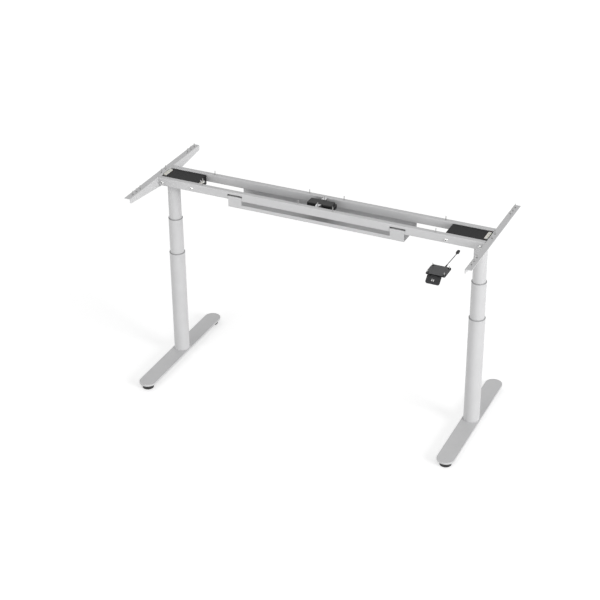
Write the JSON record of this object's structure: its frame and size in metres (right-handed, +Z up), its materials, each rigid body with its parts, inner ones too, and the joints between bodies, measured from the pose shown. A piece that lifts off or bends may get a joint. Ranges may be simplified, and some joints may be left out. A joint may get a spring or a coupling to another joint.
{
  "type": "standing desk frame",
  "caption": "Height-adjustable desk frame: two telescopic columns on flat feet, joined by twin rails with side brackets, motor housings, cable tray and paddle handset.",
  "frame": {"origin": "on the floor, under the middle of the whole frame's width and depth", "axes": "+X along the rails to the handset's side, -Y to the front where the user sits, +Z up"},
  "size_m": [1.7748, 0.8634, 1.082],
  "materials": {
    "grey_paint": "fine smooth powder coat, light grey",
    "bare_steel": "zinc-plated",
    "screw_steel": "turned, oiled",
    "screw_steel_bright": "bright zinc",
    "motor_steel": "satin black",
    "bronze": "cast bronze",
    "ring_plastic": "moulded, mid grey",
    "white_plastic": "natural white",
    "glide_plastic": "black, moulded",
    "black_plastic": "black, fine grain",
    "dark_plastic": "dark grey, fine grain",
    "cord_sheath": "black sheath"
  },
  "bodies": {
    "base": {"left_foot_plate": "grey_paint", "right_foot_plate": "grey_paint", "foot_screws": "bare_steel", "glide_studs": "bare_steel", "left_outer_tube": "grey_paint", "right_outer_tube": "grey_paint", "left_outer_ring": "ring_plastic", "right_outer_ring": "ring_plastic", "left_lift_post": "screw_steel", "right_lift_post": "screw_steel"},
    "left_middle": {"left_middle_tube": "grey_paint", "left_middle_ring": "ring_plastic", "left_middle_guide": "white_plastic"},
    "right_middle": {"right_middle_tube": "grey_paint", "right_middle_ring": "ring_plastic", "right_middle_guide": "white_plastic"},
    "left_screw": {"left_spindle": "screw_steel", "left_spindle_nut": "bronze"},
    "right_screw": {"right_spindle": "screw_steel", "right_spindle_nut": "bronze"},
    "left_drive": {"left_drive_tube": "screw_steel", "left_drive_nut": "bronze"},
    "right_drive": {"right_drive_tube": "screw_steel", "right_drive_nut": "bronze"},
    "front_left_level": {"front_left_glide": "glide_plastic"},
    "front_right_level": {"front_right_glide": "glide_plastic"},
    "back_left_level": {"back_left_glide": "glide_plastic"},
    "back_right_level": {"back_right_glide": "glide_plastic"},
    "paddle": {"handset_paddle": "dark_plastic"},
    "top": {"left_inner_tube": "grey_paint", "right_inner_tube": "grey_paint", "inner_guides": "white_plastic", "drive_bearings": "bare_steel", "left_gear_housing": "black_plastic", "right_gear_housing": "black_plastic", "left_housing_cover": "black_plastic", "right_housing_cover": "black_plastic", "left_motor": "motor_steel", "right_motor": "motor_steel", "motor_connectors": "white_plastic", "housing_bolts": "bare_steel", "column_plate_screws": "bare_steel", "front_rail": "grey_paint", "back_rail": "grey_paint", "left_bracket": "grey_paint", "right_bracket": "grey_paint", "rail_end_screws": "bare_steel", "cable_tray": "grey_paint", "control_box_case": "black_plastic", "control_box_sockets": "dark_plastic", "control_box_clips": "bare_steel", "handset_base": "black_plastic", "handset_lid": "dark_plastic", "paddle_pin": "bare_steel", "cord_relief": "black_plastic", "handset_cord": "cord_sheath", "handset_plug": "black_plastic", "cable_clip": "white_plastic", "desktop_screws": "screw_steel_bright"}
  },
  "joints": [
    {"name": "lift", "type": "slide", "parent": "base", "child": "top", "axis": [0, 0, 1], "range_m": [-0.38, 0.242]},
    {"name": "left_middle_slide", "type": "slide", "parent": "base", "child": "left_middle", "axis": [0, 0, 1], "range_m": [-0.19, 0.121]},
    {"name": "right_middle_slide", "type": "slide", "parent": "base", "child": "right_middle", "axis": [0, 0, 1], "range_m": [-0.19, 0.121]},
    {"name": "left_screw_spin", "type": "hinge", "parent": "left_middle", "child": "left_screw", "pos_m": [-0.813, 0.0447, 0.252], "axis": [0, 0, 1], "range_deg": [-5720, 3650]},
    {"name": "left_drive_spin", "type": "hinge", "parent": "top", "child": "left_drive", "pos_m": [-0.813, 0.0447, 1.015], "axis": [0, 0, 1], "range_deg": [-11420, 7280]},
    {"name": "right_screw_spin", "type": "hinge", "parent": "right_middle", "child": "right_screw", "pos_m": [0.813, 0.0447, 0.252], "axis": [0, 0, 1], "range_deg": [-5720, 3650]},
    {"name": "right_drive_spin", "type": "hinge", "parent": "top", "child": "right_drive", "pos_m": [0.813, 0.0447, 1.015], "axis": [0, 0, 1], "range_deg": [-11420, 7280]},
    {"name": "front_left_levelling", "type": "slide", "parent": "base", "child": "front_left_level", "axis": [0, 0, 1], "range_m": [-0.01, 0]},
    {"name": "front_right_levelling", "type": "slide", "parent": "base", "child": "front_right_level", "axis": [0, 0, 1], "range_m": [-0.01, 0]},
    {"name": "back_left_levelling", "type": "slide", "parent": "base", "child": "back_left_level", "axis": [0, 0, 1], "range_m": [-0.01, 0]},
    {"name": "back_right_levelling", "type": "slide", "parent": "base", "child": "back_right_level", "axis": [0, 0, 1], "range_m": [-0.01, 0]},
    {"name": "paddle_press", "type": "hinge", "parent": "top", "child": "paddle", "pos_m": [0.7475, -0.3983, 1.0476], "axis": [1, 0, 0], "range_deg": [-7, 7], "stiffness_Nm_per_rad": 1.2}
  ],
  "couplings": [
    {"joint": "left_middle_slide", "follows": "lift", "ratio": 0.5},
    {"joint": "right_middle_slide", "follows": "lift", "ratio": 0.5},
    {"joint": "left_screw_spin", "follows": "lift", "rad_per_m": 261.8},
    {"joint": "right_screw_spin", "follows": "lift", "rad_per_m": 261.8},
    {"joint": "left_drive_spin", "follows": "lift", "rad_per_m": 523.6},
    {"joint": "right_drive_spin", "follows": "lift", "rad_per_m": 523.6}
  ]
}
